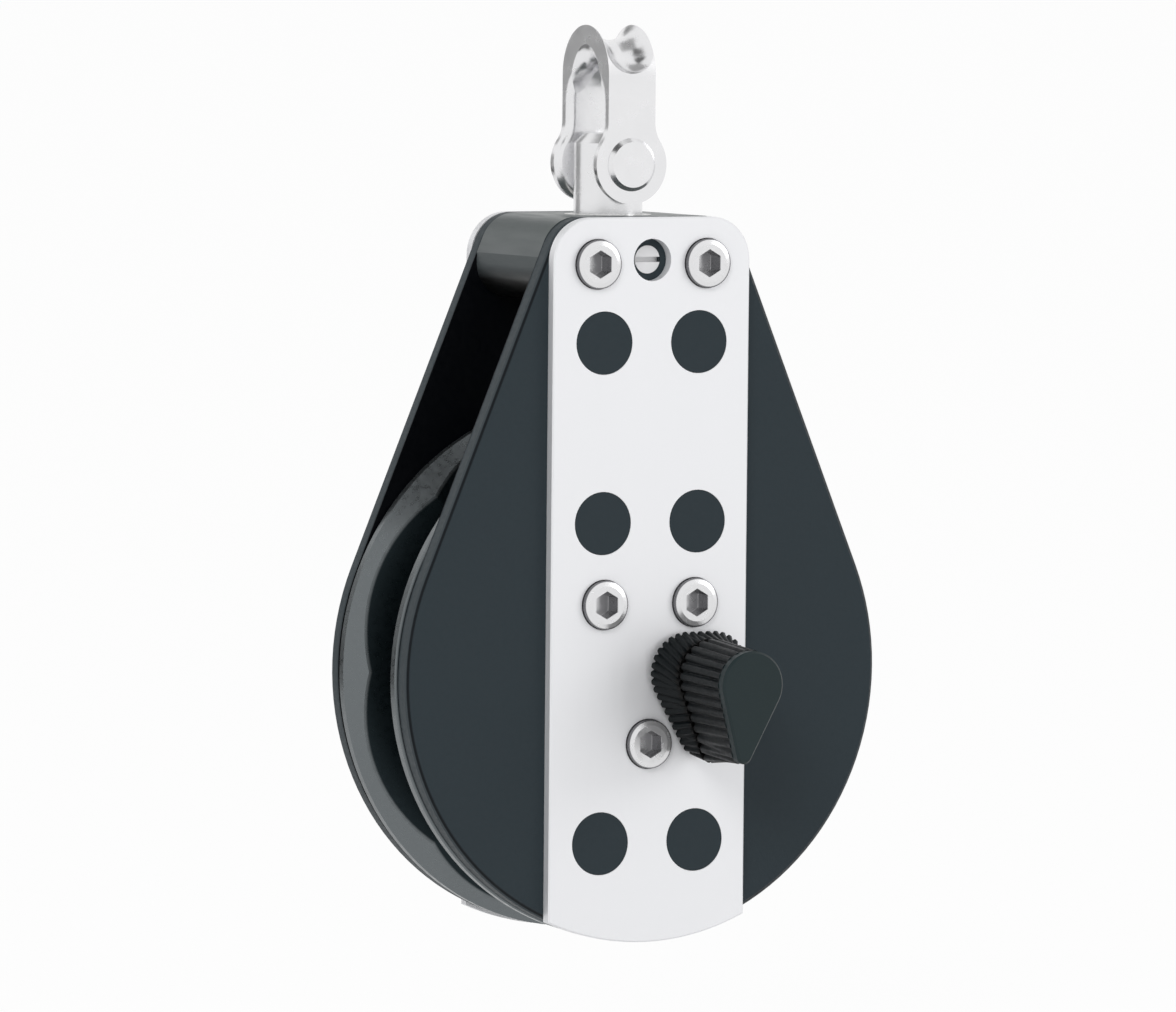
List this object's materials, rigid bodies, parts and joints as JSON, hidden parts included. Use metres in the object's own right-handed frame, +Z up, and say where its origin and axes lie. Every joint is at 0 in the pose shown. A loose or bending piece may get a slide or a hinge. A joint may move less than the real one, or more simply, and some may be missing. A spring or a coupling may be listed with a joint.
{
  "type": "ratchet block",
  "caption": "Deck ratchet block with one faceted sheave, black cheeks, polished straps, a swivel post with shackle and a ribbed on/off knob.",
  "frame": {"origin": "centre of the sheave, on its axis and midway between its rims", "axes": "+Z up towards the shackle, +Y along the sheave's axis away from the knob side, +X to the right seen from the knob side"},
  "size_m": [0.0762, 0.0452, 0.1306],
  "materials": {
    "stainless": "polished",
    "spring_steel": "satin",
    "black_plastic": "fine satin",
    "knob_plastic": "satin",
    "dark_anodised": "anodised satin",
    "hub_plastic": "moulded",
    "hard_steel": "ground",
    "acetal": "smooth"
  },
  "bodies": {
    "shackle": {"shackle_bow": "stainless", "shackle_pin": "stainless", "pin_ring": "spring_steel"},
    "swivel": {"swivel_post": "stainless", "thrust_washer": "stainless", "swivel_nut": "stainless", "nut_cotter_pin": "stainless"},
    "block": {"front_cheek": "black_plastic", "rear_cheek": "black_plastic", "front_strap": "stainless", "rear_strap": "stainless", "head_block": "black_plastic", "post_bush": "acetal", "hub_front": "hub_plastic", "hub_rear": "hub_plastic", "pawl_pin": "hard_steel", "front_screws": "stainless", "rear_screws": "stainless", "front_race_cover": "hub_plastic", "rear_race_cover": "hub_plastic", "knob_bush": "acetal"},
    "sheave": {"sheave": "dark_anodised", "ratchet_ring": "hard_steel", "front_outer_race": "hard_steel", "rear_outer_race": "hard_steel"},
    "balls_front": {"ball_row_front": "acetal"},
    "balls_rear": {"ball_row_rear": "acetal"},
    "knob": {"ratchet_knob": "knob_plastic", "knob_shaft": "hard_steel"},
    "pawl": {"pawl": "hard_steel", "pawl_spring": "spring_steel"},
    "lock_screw": {"lock_screw": "stainless"}
  },
  "joints": [
    {"name": "shackle_swing", "type": "hinge", "parent": "shackle", "child": "swivel", "pos_m": [0, 0, 0.07245], "axis": [0, 1, 0], "range_deg": [-90, 90]},
    {"name": "swivel_turn", "type": "hinge", "parent": "swivel", "child": "block", "pos_m": [0, 0, 0.057], "axis": [0, 0, 1], "continuous": true},
    {"name": "sheave_turn", "type": "hinge", "parent": "block", "child": "sheave", "pos_m": [0, 0, 0], "axis": [0, 1, 0], "continuous": true},
    {"name": "balls_front_orbit", "type": "hinge", "parent": "block", "child": "balls_front", "pos_m": [0, -0.00577, 0], "axis": [0, 1, 0], "continuous": true},
    {"name": "balls_rear_orbit", "type": "hinge", "parent": "block", "child": "balls_rear", "pos_m": [0, 0.00577, 0], "axis": [0, 1, 0], "continuous": true},
    {"name": "ratchet_switch", "type": "hinge", "parent": "block", "child": "knob", "pos_m": [0.0077, 0, 0.001], "axis": [0, -1, 0], "range_deg": [0, 90]},
    {"name": "pawl_swing", "type": "hinge", "parent": "block", "child": "pawl", "pos_m": [0.0128, 0, -0.00681], "axis": [0, 1, 0], "range_deg": [0, 11]},
    {"name": "swivel_lock", "type": "slide", "parent": "block", "child": "lock_screw", "axis": [0, 1, 0], "range_m": [0, 0.0005]}
  ],
  "couplings": [
    {"joint": "balls_front_orbit", "follows": "sheave_turn", "ratio": 0.5605},
    {"joint": "balls_rear_orbit", "follows": "sheave_turn", "ratio": 0.5605},
    {"joint": "pawl_swing", "follows": "ratchet_switch", "ratio": 0.12222}
  ]
}
